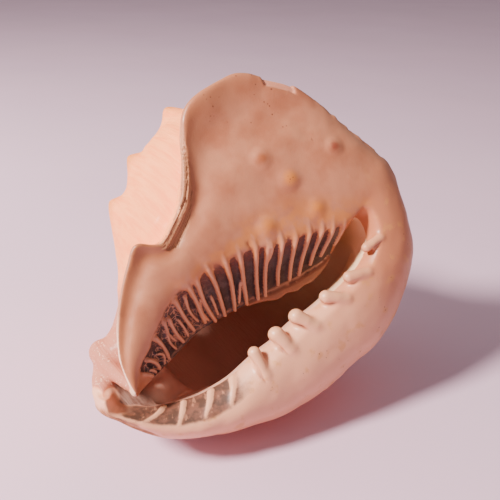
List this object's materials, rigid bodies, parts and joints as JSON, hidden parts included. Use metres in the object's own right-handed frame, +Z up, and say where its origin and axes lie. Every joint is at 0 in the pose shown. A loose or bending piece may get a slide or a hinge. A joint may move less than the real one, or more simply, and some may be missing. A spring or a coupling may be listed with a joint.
{
  "type": "helmet shell",
  "caption": "Large helmet sea shell with a broad glazed shield, a toothed lip, a ridged mouth, a low spire and rows of blunt knobs.",
  "frame": {"origin": "centre of the shell's outer box at the surface it rests on", "axes": "+Z up from the surface it rests on, -Y to the side that the mouth faces, +X to the spire's side"},
  "size_m": [0.218, 0.2196, 0.2279],
  "materials": {
    "shell": "glazed peach face with brown stains between the ridges, paler satin back"
  },
  "bodies": {
    "root": {"shell": "shell"}
  },
  "joints": []
}
